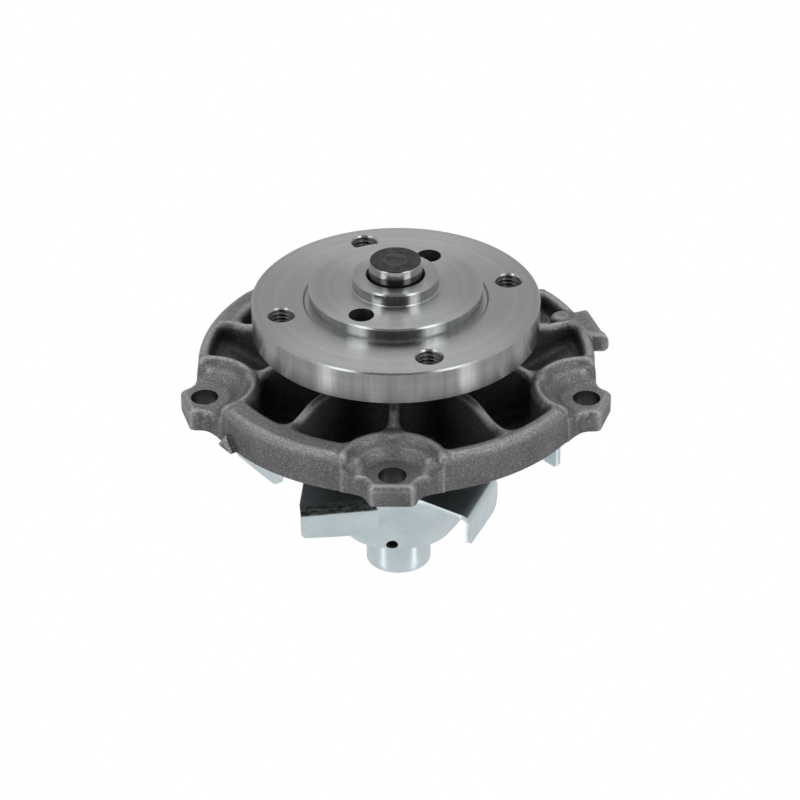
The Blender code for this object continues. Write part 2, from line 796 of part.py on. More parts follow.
rotor_axis = pivot("rotor_axis")
build_hub(rotor_axis)
build_shaft(rotor_axis)
build_impeller(rotor_axis)
build_seal_rotor(rotor_axis)

build_ball_row(pivot("ball_train_axis"))
build_roller_row(pivot("roller_train_axis"))
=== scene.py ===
"""The water pump's looks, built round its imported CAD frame: a fine casting, turned hub and shaft, plated
impeller, procedural materials, soft studio light and a camera at the photograph's viewing angle.

Sizes here are millimetres, turned into metres when a mesh is made. Radii are from the shaft axis (Z)."""

import json
import math

import bmesh
import bpy
import numpy as np
from mathutils import Matrix, Vector


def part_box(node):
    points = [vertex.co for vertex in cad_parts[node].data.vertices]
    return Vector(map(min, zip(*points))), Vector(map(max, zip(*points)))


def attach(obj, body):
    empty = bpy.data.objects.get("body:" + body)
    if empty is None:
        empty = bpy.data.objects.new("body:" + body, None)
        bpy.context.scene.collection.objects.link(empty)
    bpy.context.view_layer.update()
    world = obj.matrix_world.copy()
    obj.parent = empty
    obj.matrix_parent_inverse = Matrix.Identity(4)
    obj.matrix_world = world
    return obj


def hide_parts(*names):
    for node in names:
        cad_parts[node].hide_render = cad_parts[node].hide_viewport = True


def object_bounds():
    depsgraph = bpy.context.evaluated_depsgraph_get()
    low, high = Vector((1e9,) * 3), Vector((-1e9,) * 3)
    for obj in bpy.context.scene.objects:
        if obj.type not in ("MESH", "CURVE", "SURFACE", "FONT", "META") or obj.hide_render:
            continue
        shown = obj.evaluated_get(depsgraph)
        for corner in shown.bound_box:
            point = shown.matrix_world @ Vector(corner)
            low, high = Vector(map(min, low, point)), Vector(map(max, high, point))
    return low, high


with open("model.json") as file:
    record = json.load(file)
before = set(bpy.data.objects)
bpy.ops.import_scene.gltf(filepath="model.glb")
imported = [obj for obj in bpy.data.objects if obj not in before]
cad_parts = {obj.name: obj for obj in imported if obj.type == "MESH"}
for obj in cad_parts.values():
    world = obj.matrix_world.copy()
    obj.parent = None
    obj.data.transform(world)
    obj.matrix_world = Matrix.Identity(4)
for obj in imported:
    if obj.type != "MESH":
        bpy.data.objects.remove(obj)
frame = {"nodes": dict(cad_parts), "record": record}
cad_low, cad_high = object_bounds()
MM = 0.001


def box_mm(node):
    """Lowest and highest corner of a CAD node, in millimetres."""
    low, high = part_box(node)
    return low / MM, high / MM


# Sizes read from the CAD frame
HOUSING_LOW, HOUSING_HIGH = box_mm("pump_housing")
HUB_LOW, HUB_HIGH = box_mm("drive_hub")
SHAFT_LOW, SHAFT_HIGH = box_mm("bearing_shaft")
IMPELLER_LOW, IMPELLER_HIGH = box_mm("impeller")
HUB_R = HUB_HIGH.x
SHAFT_R = SHAFT_HIGH.x
SHAFT_TOP = SHAFT_HIGH.z
SHAFT_END = SHAFT_LOW.z
HUB_BACK = HUB_LOW.z
BOSS_TOP = HUB_HIGH.z
TUBE_TOP = HOUSING_HIGH.z
SEAL_BOSS_END = HOUSING_LOW.z
ARM_TOP = IMPELLER_HIGH.z
COLLAR_END = IMPELLER_LOW.z

# Housing: the rim, its windows and the web
RIM_R = 59.6
RIM_TOP = 11.8
RIM_INNER_R = 56.2
FACE_INNER_R = 52.0
FACE_STOCK = 2.0
WEB_SLOPE = 0.4645
WEB_ROOT_R = 24.0
WEB_ROOT_Z = -9.4
WEB_LEVEL_R = 55.0
WEB_EDGE_R = 58.0
WEB_DEPTH = 4.9
WALL_DEPTH = 2.2
SEAL_BOSS_R = 24.0
# Where the rim is thicker inside: (from azimuth, to azimuth, soft edge, extra thickness)
THICK_WALLS = ((-152, -104, 4.0, 5.0), (-80, -32, 4.0, 1.6), (134, 161, 2.0, 4.4))

# Corners of the space searched for the casting's surface
CAST_LOW, CAST_HIGH = (-68, -68.5, -34.5), (68, 66, 20)

# Housing: the tube, ribs and tab
TUBE_R = 20.3
RIB_START_R = 18.0
RIB_TOP = 14.6
RIB_WIDTH = 3.0
RIB_FILLET = 4.5
BOLT_RIB_END_R = 44.5
MID_RIB_END_R = 57.0
MID_RIBS = (-55.4, 17.4, 88.6, 160.6, -127.4)
TAB_BOSS = (50.9, 19.9)
TAB_BOSS_R = 3.7
TAB_AZIMUTH = 15.99
TAB_REACH = 63.5
TAB_STEP = 0.55

# Housing: the bolt ears, and the ridge and scooped ground round each bolt
BOLTS = [-91.4 + 72 * k for k in range(5)]
BOLT_CIRCLE_R = 59.44
BOLT_HOLE_R = 4.1
SEAT_TOP = 6.6
RIDGE_R = 14.9
RIDGE_HALF = 1.9
RIDGE_LEVEL_R = 16.4
PAD_R = 14.4
EAR_FACE_R = 65.5
WEEP_AZIMUTH = 106.0

# Hub and shaft
HUB_FACE = 30.14
HUB_CHAMFER = 0.45
HUB_CLEARANCE = 0.3
STEP_R = 25.9
STEP_TOP = 34.5
BOSS_R = 12.9
THREAD_CIRCLE_R = 35.05
THREAD_AZIMUTHS = [15.6 + 90 * k for k in range(4)]
THREAD_MINOR_R = 3.4
THREAD_MAJOR_R = 4.05
THREAD_PITCH = 1.25
THREAD_SINK_R = 4.28
PULLER_CIRCLE_R = 19.9
PULLER_AZIMUTHS = (59.7, -120.3)
PULLER_R = 3.75
BALL_GROOVE_Z = -11.5
BALL_CIRCLE_R = 10.4
BALL_GROOVE_R = 3.395

# Impeller
SHEET = 1.6
TIPS = [-64.9 + 60 * k for k in range(6)]
TIP_R = 50.0
VANE_END_R = 38.4
VANE_SWEEP = 26.0
SHEARED_R = 37.3
SHEARED_SWEEP = -13.8
VALLEY_DIP = 3.2
BEND_R = 2.3
VANE_BOTTOM = -28.0
VANE_CORNER_R = 4.2
TIP_CORNER_R = 1.0
BOWL_RIM_R = 35.1
BOWL_FLOOR = -48.5
BOWL_CORNER_R = 6.2
RIM_BEND_R = 2.6
NECK_R = 2.4
COLLAR_R = 9.27
GAP_MIDDLE = -29.5
BALANCE_Z = -45.8
BALANCE_R = 1.85
BALANCE_AZIMUTH = -95.6


def polar(radius, degrees, z=0.0):
    """The point at a radius, azimuth and height."""
    angle = math.radians(degrees)
    return Vector((radius * math.cos(angle), radius * math.sin(angle), z))


def arc(centre, radius, start, end, count):
    """Points (radius, z) along a circle in the turning plane."""
    angles = [math.radians(start + (end - start) * i / count) for i in range(count + 1)]
    return [(centre[0] + radius * math.cos(a), centre[1] + radius * math.sin(a)) for a in angles]


# ---------------------------------------------------------------- meshes


def mesh_object(name, points, faces):
    """An object from points in millimetres."""
    mesh = bpy.data.meshes.new(name)
    mesh.from_pydata([tuple(p) for p in np.asarray(points) * MM], [], [tuple(f) for f in faces])
    mesh.validate()
    mesh.update()
    return linked(name, mesh)


def linked(name, mesh):
    """An object of this mesh, in the scene."""
    obj = bpy.data.objects.new(name, mesh)
    bpy.context.scene.collection.objects.link(obj)
    return obj


def turned(name, profile, steps, closed=True):
    """A fine solid of revolution, from (radius, z) points that run down its outer side."""
    mesh = bpy.data.meshes.new(name)
    count = len(profile)
    edges = [(i, (i + 1) % count) for i in range(count if closed else count - 1)]
    mesh.from_pydata([(r * MM, 0, z * MM) for r, z in profile], edges, [])
    obj = linked(name, mesh)
    screw = obj.modifiers.new("turn", "SCREW")
    screw.steps = screw.render_steps = steps
    screw.use_merge_vertices = True
    screw.merge_threshold = 1e-6
    return bake(obj)


def bake(obj):
    """Applies an object's modifiers to its mesh."""
    graph = bpy.context.evaluated_depsgraph_get()
    mesh = bpy.data.meshes.new_from_object(obj.evaluated_get(graph))
    obj.modifiers.clear()
    obj.data = mesh
    return obj


def rod(name, radius, low, high, sides=48):
    """A cylinder between two points."""
    mesh = bpy.data.meshes.new(name)
    shape = bmesh.new()
    turn = (high - low).to_track_quat("Z", "Y").to_matrix().to_4x4()
    place = Matrix.Translation((low + high) / 2 * MM) @ turn
    bmesh.ops.create_cone(
        shape, cap_ends=True, segments=sides, radius1=radius * MM, radius2=radius * MM,
        depth=(high - low).length * MM, matrix=place,
    )
    shape.to_mesh(mesh)
    shape.free()
    return linked(name, mesh)


def carve(obj, cutters, solver="EXACT"):
    """Cuts separate, closed cutters out of an object in one Boolean, and removes them."""
    tool = merged("cutter", cutters)
    boolean = obj.modifiers.new("cut", "BOOLEAN")
    boolean.operation = "DIFFERENCE"
    boolean.solver = solver
    boolean.object = tool
    bake(obj)
    bpy.data.objects.remove(tool)
    return obj


def merged(name, objects):
    """One object of several, in place of them."""
    shape = bmesh.new()
    for obj in objects:
        copy = obj.data.copy()
        copy.transform(obj.matrix_world)
        shape.from_mesh(copy)
        bpy.data.objects.remove(obj)
    mesh = bpy.data.meshes.new(name)
    shape.to_mesh(mesh)
    shape.free()
    return linked(name, mesh)


def smooth(obj, sharp_degrees):
    """Smooth shading, apart from edges sharper than this."""
    obj.data.shade_smooth()
    obj.data.set_sharp_from_angle(angle=math.radians(sharp_degrees))
    return obj


# ---------------------------------------------------------------- casting, as a distance field


def blend_min(a, b, width):
    """The union of two distance fields, with a fillet."""
    near = np.maximum(width - np.abs(a - b), 0) / width
    return np.minimum(a, b) - near * near * width / 4


def blend_max(a, b, width):
    """The intersection of two distance fields, with a rounded edge."""
    return -blend_min(-a, -b, width)


def ease(value):
    """0 up to 0, 1 from 1, and an even S between."""
    t = np.clip(value, 0, 1)
    return t * t * (3 - 2 * t)


def window(degrees, start, end, edge=4.0):
    """1 between two azimuths, easing to 0 outside them."""
    middle, half = (start + end) / 2, (end - start) / 2
    off = np.abs((degrees - middle + 180) % 360 - 180)
    return 1 - ease((off - half) / edge + 0.5)


def rib_field(x, y, azimuth, inner, outer, width):
    """Outline of a straight rib with round ends, along a radius."""
    c, s = math.cos(math.radians(azimuth)), math.sin(math.radians(azimuth))
    along, across = x * c + y * s, y * c - x * s
    return np.hypot(across, along - np.clip(along, inner, outer)) - width / 2


def scoop_table():
    """Height of the casting inside a bolt ridge, by distance from the bolt: seat, slope and shelf."""
    radii = np.linspace(0, 20, 401)
    height = np.interp(radii, [7.9, 10.7, 11.9, 13.2], [SEAT_TOP, 9.25, 9.75, 9.6])
    half_span = 24
    kernel = np.hanning(2 * half_span + 1)
    padded = np.pad(height, half_span, mode="edge")
    return radii, np.convolve(padded, kernel / kernel.sum(), mode="valid")


SCOOP_R, SCOOP_Z = scoop_table()


def ear_field(along, across):
    """Outline of a bolt ear: a flat end with clipped corners, flaring into the rim."""
    across = np.abs(across)
    half = np.interp(along, [57.4, 58.8, 60.4, 62.4, 64.6], [13.4, 11.2, 8.7, 7.4, 6.8])
    clipped = (along - 64.9) * 0.6 + (across - 6.4) * 0.8
    field = blend_max(along - EAR_FACE_R, (across - half) * 0.85, 0.8)
    return np.maximum(blend_max(field, clipped, 0.6), 50 - along)


def housing_field(x, y, z):
    """Signed distance to the casting, in millimetres: negative inside. Bores and holes are cut later."""
    radius = np.hypot(x, y)
    azimuth = np.degrees(np.arctan2(y, x))
    floor = WEB_ROOT_Z + WEB_SLOPE * (np.minimum(radius, WEB_LEVEL_R) - WEB_ROOT_R)
    outline = blend_min(radius - RIM_R, tab_field(x, y, z), 0.8)
    on_face = radius > FACE_INNER_R - 0.3

    walls, wall_end, pads, ground = round_bolts(x, y, radius, rim_wall(radius, azimuth))
    walls = blend_min(walls, all_ribs(x, y, radius), RIB_FILLET)
    walls = blend_min(walls, np.hypot(x - TAB_BOSS[0], y - TAB_BOSS[1]) - TAB_BOSS_R, 1.0)
    walls = blend_max(walls, outline, 2.2)
    rib_top = RIM_TOP + (RIB_TOP - RIM_TOP) * ease((50.0 - radius) / 12.0)
    top = np.minimum(rib_top, wall_end)
    top = top + (TUBE_TOP - RIB_TOP) * ease((24.5 - radius) / 5.0)
    low = np.where(on_face, -FACE_STOCK, floor - WALL_DEPTH)
    wall_solid = np.maximum(blend_max(walls, z - top, 2.6), low - z)

    under = floor - WEB_DEPTH - (FACE_INNER_R - radius) * 0.06
    under = np.where(on_face, -FACE_STOCK, under)
    web = np.maximum(np.maximum((z - floor) * 0.907, (under - z) * 0.88), radius - WEB_EDGE_R)
    boss = np.maximum(radius - SEAL_BOSS_R - (z + 32) * 0.03, z + 9.0)
    boss = blend_max(boss, SEAL_BOSS_END - z, 1.2)
    body = blend_min(wall_solid, blend_min(web, boss, 5.0), 3.0)

    pad_solid = np.maximum(blend_max(pads, (z - ground) * 0.85, 1.7), low - z)
    body = blend_min(np.maximum(body, outline), pad_solid, 1.6)
    return blend_min(body, lug_field(x, y, z), 0.4)


def rim_wall(radius, azimuth):
    """Outline of the rim, open outward: its inner side stands further in along some stretches."""
    inner = RIM_INNER_R
    for start, end, edge, extra in THICK_WALLS:
        inner = inner - extra * window(azimuth, start, end, edge)
    return inner - radius


def all_ribs(x, y, radius):
    """Outline of the bearing tube with its ten ribs."""
    ribs = radius - TUBE_R
    for azimuth in BOLTS:
        rib = rib_field(x, y, azimuth, RIB_START_R, BOLT_RIB_END_R, RIB_WIDTH)
        ribs = blend_min(ribs, rib, RIB_FILLET)
    for azimuth in MID_RIBS:
        rib = rib_field(x, y, azimuth, RIB_START_R, MID_RIB_END_R, RIB_WIDTH)
        ribs = blend_min(ribs, rib, RIB_FILLET)
    return ribs


def round_bolts(x, y, radius, walls):
    """The walls with a ridge bent round each bolt, the height where they end there, the outline of the ears
    and of the ground inside the ridges, and that ground's height."""
    wall_end = np.full_like(radius, 60.0)
    pads = np.full_like(radius, 1e3)
    ground = np.full_like(radius, 1e3)
    for bolt in BOLTS:
        c, s = math.cos(math.radians(bolt)), math.sin(math.radians(bolt))
        along, across = x * c + y * s, y * c - x * s
        reach = np.hypot(along - BOLT_CIRCLE_R, across)
        ridge = np.abs(reach - RIDGE_R) - RIDGE_HALF
        walls = blend_min(np.maximum(walls, RIDGE_R - reach), ridge, 2.4)
        wall_end = np.minimum(wall_end, RIM_TOP + np.maximum(reach - RIDGE_LEVEL_R, 0) * 0.5)
        mouth = np.maximum(reach - PAD_R, radius - RIM_R)
        pads = np.minimum(pads, blend_min(mouth, ear_field(along, across), 3.0))
        shelf = np.interp(reach, SCOOP_R, SCOOP_Z) - SEAT_TOP
        shelf = shelf * (1 - ease((along - 55.0) / 5.0))
        ground = np.where(reach < SCOOP_R[-1] - 1, SEAT_TOP + shelf, ground)
    return walls, wall_end, pads, ground


def tab_field(x, y, z):
    """The tab high on the rim: a straight outer edge that steps out to a block at its square end."""
    turn, far_side = math.radians(TAB_AZIMUTH), math.radians(22.5)
    out = x * math.cos(turn) + y * math.sin(turn)
    outer = out - TAB_REACH - TAB_STEP * ease((10.9 - y) / 0.8)
    sides = np.maximum(7.0 - y, y * math.cos(far_side) - x * math.sin(far_side))
    plan = blend_max(outer, sides, 0.8)
    low = 6.0 + 0.9 * ease((out - 62.4) / 1.6)
    return blend_max(plan, low - z, 0.9)


def lug_field(x, y, z):
    """A small three-sided casting lug low on the rim: the space inside its faces."""
    peak, peak_root = polar(60.8, -145.8, 4.0), polar(59.0, -145.5, 4.1)
    near, near_root = polar(61.5, -142.1, 0.0), polar(59.0, -142.0, 0.0)
    far, far_root = polar(61.7, -148.4, 0.0), polar(59.0, -149.2, 0.0)
    middle = polar(58.5, -145.5, 0.5)
    field = np.maximum(-2.0 - z, 57.0 - np.hypot(x, y))
    field = np.maximum(field, np.hypot(x - middle.x, y - middle.y) - 8.0)
    sides = (far, peak, near), (near, near_root, peak), (far, far_root, peak), (peak, peak_root, near)
    for corners in sides:
        field = np.maximum(field, half_space(x, y, z, *corners, middle))
    return field


def half_space(x, y, z, a, b, c, within):
    """Distance outward from the plane through three points, with the fourth inside."""
    normal = (b - a).cross(c - a).normalized()
    if normal.dot(within - a) > 0:
        normal = -normal
    return (x - a.x) * normal.x + (y - a.y) * normal.y + (z - a.z) * normal.z


def surface_of(field, low, high, cell):
    """Surface nets: a point in each grid cell that the field's zero crosses, and quads between them."""
    axes = [np.arange(low[i], high[i] + cell, cell, dtype=np.float32) for i in range(3)]
    values = field(axes[0][:, None, None], axes[1][None, :, None], axes[2][None, None, :])
    part_corners(values)
    inside = values < 0
    count = corner_count(inside)
    cells = np.argwhere((count > 0) & (count < 8))
    ids = np.full(count.shape, -1, np.int64)
    ids[tuple(cells.T)] = np.arange(len(cells))
    total = np.zeros((len(cells), 3))
    hits = np.zeros(len(cells))
    for axis in range(3):
        for sides in np.ndindex(2, 2):
            first = np.insert(np.array(sides), axis, 0)
            second = np.insert(np.array(sides), axis, 1)
            a = values[tuple((cells + first).T)]
            b = values[tuple((cells + second).T)]
            crossed = (a < 0) != (b < 0)
            share = np.where(crossed, a / np.where(crossed, a - b, 1), 0)
            point = np.tile(first.astype(float), (len(cells), 1))
            point[:, axis] = share
            total += point * crossed[:, None]
            hits += crossed
    points = (cells + total / hits[:, None]) * cell + [a[0] for a in axes]
    faces = [net_faces(inside, ids, axis) for axis in range(3)]
    return points, np.concatenate(faces)


def part_corners(values):
    """Fills the grid points where the solid touches itself only along a diagonal, so that the surface is
    everywhere a plain sheet. Each round can bring new ones, so it repeats."""
    for _ in range(12):
        inside = values < 0
        fill = np.zeros_like(inside)
        for axis in range(3):
            solid, mark = np.moveaxis(inside, axis, 0), np.moveaxis(fill, axis, 0)
            a, b, c, d = solid[:, :-1, :-1], solid[:, 1:, 1:], solid[:, 1:, :-1], solid[:, :-1, 1:]
            mark[:, 1:, :-1] |= a & b & ~c & ~d
            mark[:, :-1, :-1] |= c & d & ~a & ~b
        count = corner_count(inside)
        for i, j in np.ndindex(2, 2):
            near, far = at_corner(inside, (0, i, j)), at_corner(inside, (1, 1 - i, 1 - j))
            beside = at_corner(fill, (0, i, 1 - j))
            beside |= near & far & (count == 2)
            first = at_corner(fill, (0, i, j))
            first |= ~near & ~far & (count == 6)
        if not fill.any():
            return
        values[fill] = -1e-4


def at_corner(grid, corner):
    """The grid's values at one corner of every cell, 0 or 1 along each axis."""
    return grid[tuple(slice(c, n - 1 + c) for c, n in zip(corner, grid.shape))]


def corner_count(inside):
    """For each grid cell, how many of its corners are inside."""
    count = np.zeros(np.array(inside.shape) - 1, np.int8)
    for corner in np.ndindex(2, 2, 2):
        count += at_corner(inside, corner)
    return count


def net_faces(inside, ids, axis):
    """A quad for each grid edge along one axis that leaves or enters the solid, facing outward."""
    ahead = np.moveaxis(inside, axis, 0)
    order = np.moveaxis(ids, axis, 0)
    start, end = ahead[:-1, 1:-1, 1:-1], ahead[1:, 1:-1, 1:-1]
    edges = np.argwhere(start != end)
    i, j, k = edges.T
    ring = [order[i, j, k], order[i, j + 1, k], order[i, j + 1, k + 1], order[i, j, k + 1]]
    quads = np.stack(ring, axis=1)
    leaves = start[i, j, k]
    if axis == 1:
        leaves = ~leaves
    return np.where(leaves[:, None], quads, quads[:, ::-1])


def slope_of(field, points, step=0.02):
    """The field's rate of change along each axis."""
    slope = np.empty_like(points)
    for axis in range(3):
        nudge = np.zeros(3)
        nudge[axis] = step
        slope[:, axis] = (field(*(points + nudge).T) - field(*(points - nudge).T)) / (2 * step)
    return slope


def settle(points, field, rounds=3):
    """Moves the points onto the field's exact zero, along its slope."""
    least_slope, longest_move = 0.25, 0.3
    for _ in range(rounds):
        value = field(*points.T)
        slope = slope_of(field, points)
        size = np.maximum((slope**2).sum(axis=1), least_slope)
        move = -(value / size)[:, None] * slope
        length = np.linalg.norm(move, axis=1)
        points = points + move * np.minimum(1, longest_move / np.maximum(length, 1e-9))[:, None]
    return points


def build_housing():
    """The casting: its surface from the field, thinned to a working size, then machined."""
    cell = 0.5
    points, faces = surface_of(housing_field, CAST_LOW, CAST_HIGH, cell)
    points = settle(points, housing_field)
    housing = mesh_object("housing_casting", points, faces)
    most = 170_000
    if 2 * len(faces) > most:
        thin = housing.modifiers.new("thin", "DECIMATE")
        thin.ratio = most / (2 * len(faces))
        bake(housing)
    for cutters in housing_cutters():
        carve(housing, cutters, "MANIFOLD")
    smooth(housing, 50)
    return housing


def points_of(mesh):
    """A mesh's points, in millimetres."""
    return read(mesh.vertices, "co", np.float32, 3).astype(float) / MM


def mark_painted_light_bend(obj, field, reach=1.0):
    """Stores how far each point stands proud of the surface round it: 0 in a corner, 1 on an edge. The cast
    iron paints its highlight on edges and its shade in corners from this.
    """
    points = points_of(obj.data)
    bend = -6 * field(*points.T)
    for axis in range(3):
        for way in (-reach, reach):
            nudge = np.zeros(3)
            nudge[axis] = way
            bend += field(*(points + nudge).T)
    painted_light_bend = obj.data.attributes.new("painted_light_bend", "FLOAT", "POINT")
    painted_light_bend.data.foreach_set("value", np.clip(0.5 + bend / reach * 0.4, 0, 1).astype(np.float32))


def true_normals(obj, field, limit_degrees=48.0):
    """Shades the cast faces with the field's own slope, so that no facet of the mesh shows."""
    mesh = obj.data
    slope = slope_of(field, points_of(mesh))
    slope /= np.maximum(np.linalg.norm(slope, axis=1), 1e-9)[:, None]
    corners = read(mesh.loops, "vertex_index", np.int32)
    shown = read(mesh.corner_normals, "vector", np.float32, 3)
    sizes = read(mesh.polygons, "loop_total", np.int32)
    cast = read(mesh.polygons, "material_index", np.int32) == 0
    facing = np.repeat(read(mesh.polygons, "normal", np.float32, 3), sizes, axis=0)
    near = (facing * slope[corners]).sum(axis=1) > math.cos(math.radians(limit_degrees))
    near &= np.repeat(cast, sizes)
    mesh.normals_split_custom_set(np.where(near[:, None], slope[corners], shown).tolist())


def read(items, name, kind, width=1):
    """One property of every item of a mesh."""
    values = np.empty(width * len(items), kind)
    items.foreach_get(name, values)
    return values.reshape(-1, width) if width > 1 else values


def housing_cutters():
    """Everything machined after casting: the gasket face, stepped bore, bolt holes and weep hole."""
    outside, past, mouth = 80, 5, 0.9
    face = [(outside, 0), (outside, -8), (FACE_INNER_R, -8), (FACE_INNER_R, 0)]
    seal_bore, chamber, shoulder, bearing_bore = 18.55, 17.0, 14.0, 15.3
    shoulder_z, chamber_z, seal_z = -21.6, -22.3, -25.0
    bore = [
        (0, TUBE_TOP + past),
        (bearing_bore + mouth + past, TUBE_TOP + past),
        (bearing_bore, TUBE_TOP - mouth),
        (bearing_bore, shoulder_z),
        (shoulder, shoulder_z),
        (shoulder, chamber_z),
        (chamber, chamber_z),
        (chamber, seal_z),
        (seal_bore, seal_z),
        (seal_bore, SEAL_BOSS_END - past),
        (0, SEAL_BOSS_END - past),
    ]
    drilled = []
    for bolt in BOLTS:
        low, high = polar(BOLT_CIRCLE_R, bolt, -past), polar(BOLT_CIRCLE_R, bolt, RIM_TOP + past)
        drilled.append(rod("hole", BOLT_HOLE_R, low, high, 64))
    low, high = polar(16.6, WEEP_AZIMUTH, -23.6), polar(27.6, WEEP_AZIMUTH, -6.5)
    drilled.append(rod("weep", 2.0, low, high, 32))
    return [turned("face", face, 180)], [turned("bore", bore, 96, closed=False)], drilled


# ---------------------------------------------------------------- hub and shaft


def thread_cutter(azimuth):
    """A tap: a rod whose radius follows a thread with flat crests, with a countersink at each end."""
    around, per_pitch = 48, 8
    bottom, top = HUB_BACK - 1.0, HUB_FACE + 1.0
    rows = int((top - bottom) / THREAD_PITCH * per_pitch)
    depth = THREAD_MAJOR_R - THREAD_MINOR_R
    points = []
    for i in range(rows + 1):
        z = bottom + (top - bottom) * i / rows
        for j in range(around):
            phase = (z / THREAD_PITCH - j / around) % 1
            tooth = min(1, max(0, 1.25 * abs(2 * phase - 1) - 0.1))
            sink = THREAD_SINK_R + max(z - HUB_FACE, HUB_BACK - z)
            r = max(THREAD_MINOR_R + depth * tooth, sink)
            points.append(polar(r, 360 * j / around, z))
    faces = []
    for i in range(rows):
        for j in range(around):
            k = (j + 1) % around
            faces.append((i * around + j, i * around + k, (i + 1) * around + k, (i + 1) * around + j))
    faces.append(tuple(range(around))[::-1])
    faces.append(tuple(rows * around + j for j in range(around)))
    tap = mesh_object("tap", points, faces)
    tap.location = polar(THREAD_CIRCLE_R * MM, azimuth)
    return tap


def build_hub():
    """The flange with its raised step and boss, a turned groove round the step, and six holes."""
    bore = SHAFT_R + HUB_CLEARANCE
    back_chamfer, lead_in = 0.2, 1.0
    groove = 0.55
    groove_r = STEP_R + 1.2
    profile = [
        (bore + 0.55, BOSS_TOP),
        (BOSS_R - HUB_CHAMFER, BOSS_TOP),
        (BOSS_R, BOSS_TOP - HUB_CHAMFER),
        (BOSS_R, STEP_TOP + 0.25),
        (BOSS_R + 0.25, STEP_TOP),
        (STEP_R - HUB_CHAMFER, STEP_TOP),
        (STEP_R, STEP_TOP - HUB_CHAMFER),
        (STEP_R, HUB_FACE - groove),
        (groove_r, HUB_FACE - groove),
        (groove_r + groove, HUB_FACE),
        (HUB_R - HUB_CHAMFER, HUB_FACE),
        (HUB_R, HUB_FACE - HUB_CHAMFER),
        (HUB_R, HUB_BACK + back_chamfer),
        (HUB_R - back_chamfer, HUB_BACK),
        (bore + lead_in, HUB_BACK),
        (bore, HUB_BACK + lead_in),
        (bore, BOSS_TOP - 0.7),
    ]
    hub = turned("hub_turning", profile, 192)
    cutters = [thread_cutter(a) for a in THREAD_AZIMUTHS]
    for a in PULLER_AZIMUTHS:
        low, high = polar(PULLER_CIRCLE_R, a, HUB_BACK - 2), polar(PULLER_CIRCLE_R, a, STEP_TOP + 2)
        cutters.append(rod("puller", PULLER_R, low, high, 48))
    bpy.context.view_layer.update()
    carve(hub, cutters)
    return smooth(hub, 28)


def build_shaft_end():
    """The shaft: a tapered end with a dished centre and a fine ring on its face, and the ball groove."""
    dip = 0.12
    end = [
        (0, SHAFT_TOP - dip),
        (2.5, SHAFT_TOP - dip),
        (2.8, SHAFT_TOP),
        (3.6, SHAFT_TOP),
        (3.75, SHAFT_TOP - 0.1),
        (3.95, SHAFT_TOP - 0.1),
        (4.1, SHAFT_TOP),
        (SHAFT_R - 0.5, SHAFT_TOP),
        (SHAFT_R - 0.3, SHAFT_TOP - 0.25),
        (SHAFT_R, SHAFT_TOP - 2.6),
    ]
    half = math.degrees(math.acos((BALL_CIRCLE_R - SHAFT_R) / BALL_GROOVE_R))
    groove = arc((BALL_CIRCLE_R, BALL_GROOVE_Z), BALL_GROOVE_R, 180 - half, 180 + half, 16)
    chamfer = 1.2
    tail = [(SHAFT_R, SHAFT_END + chamfer), (SHAFT_R - chamfer, SHAFT_END), (0, SHAFT_END)]
    shaft = turned("shaft_bar", end + groove + tail, 96, closed=False)
    return smooth(shaft, 28)


# ---------------------------------------------------------------- impeller


def bowl_rows():
    """Middle line of the sheet from the bowl's rim down to the collar's end, as (radius, z)."""
    shoulder = (BOWL_RIM_R, ARM_TOP - SHEET / 2 - RIM_BEND_R)
    corner = (15.2, BOWL_FLOOR + BOWL_CORNER_R)
    rim = arc(shoulder, RIM_BEND_R, 90, 150, 5)
    wall_end = arc(corner, BOWL_CORNER_R, -30, -90, 8)
    wall = [tuple(Vector(rim[-1]).lerp(Vector(wall_end[0]), i / 10)) for i in range(1, 10)]
    collar_top = BOWL_FLOOR - NECK_R
    neck = arc((COLLAR_R + NECK_R, collar_top), NECK_R, 90, 180, 6)
    collar = [(COLLAR_R, collar_top + (COLLAR_END - collar_top) * i / 6) for i in range(1, 7)]
    return rim + wall + wall_end + neck + collar


def pinch(degrees, z):
    """How far the bowl's wall is drawn inward between two arms."""
    between = 0.5 + 0.5 * math.cos(math.radians(6 * (degrees - GAP_MIDDLE)))
    depth = float(np.interp(z, [BOWL_FLOOR, -43.0, -25.0], [0.0, 2.5, 4.4]))
    return depth * between**1.3


def arm_outline(tip):
    """Edge of one arm in plan, as (point, is it on the bend line): sheared edge, bend, valley. Also the
    direction in which its vane folds out."""
    sheared = polar(SHEARED_R, tip + SHEARED_SWEEP)
    outer, inner = polar(TIP_R, tip), polar(VANE_END_R, tip + VANE_SWEEP)
    along = (inner - outer).normalized()
    inward = Vector((-along.y, along.x, 0))
    if inward.dot(outer) > 0:
        inward = -inward
    shift = inward * (BEND_R + SHEET / 2)
    outer, inner = outer + shift, inner + shift
    edge = [(sheared.lerp(outer, i / 14), False) for i in range(14)]
    edge += [(outer.lerp(inner, i / 26), True) for i in range(27)]
    end = math.degrees(math.atan2(inner.y, inner.x))
    span = (tip + 60 + SHEARED_SWEEP - end) % 360
    inner_r = inner.length
    for i in range(1, 12):
        t = i / 12
        r = inner_r * (1 - t) + SHEARED_R * t - VALLEY_DIP * math.sin(math.pi * t)
        edge.append((polar(r, end + span * t), False))
    return edge, -inward


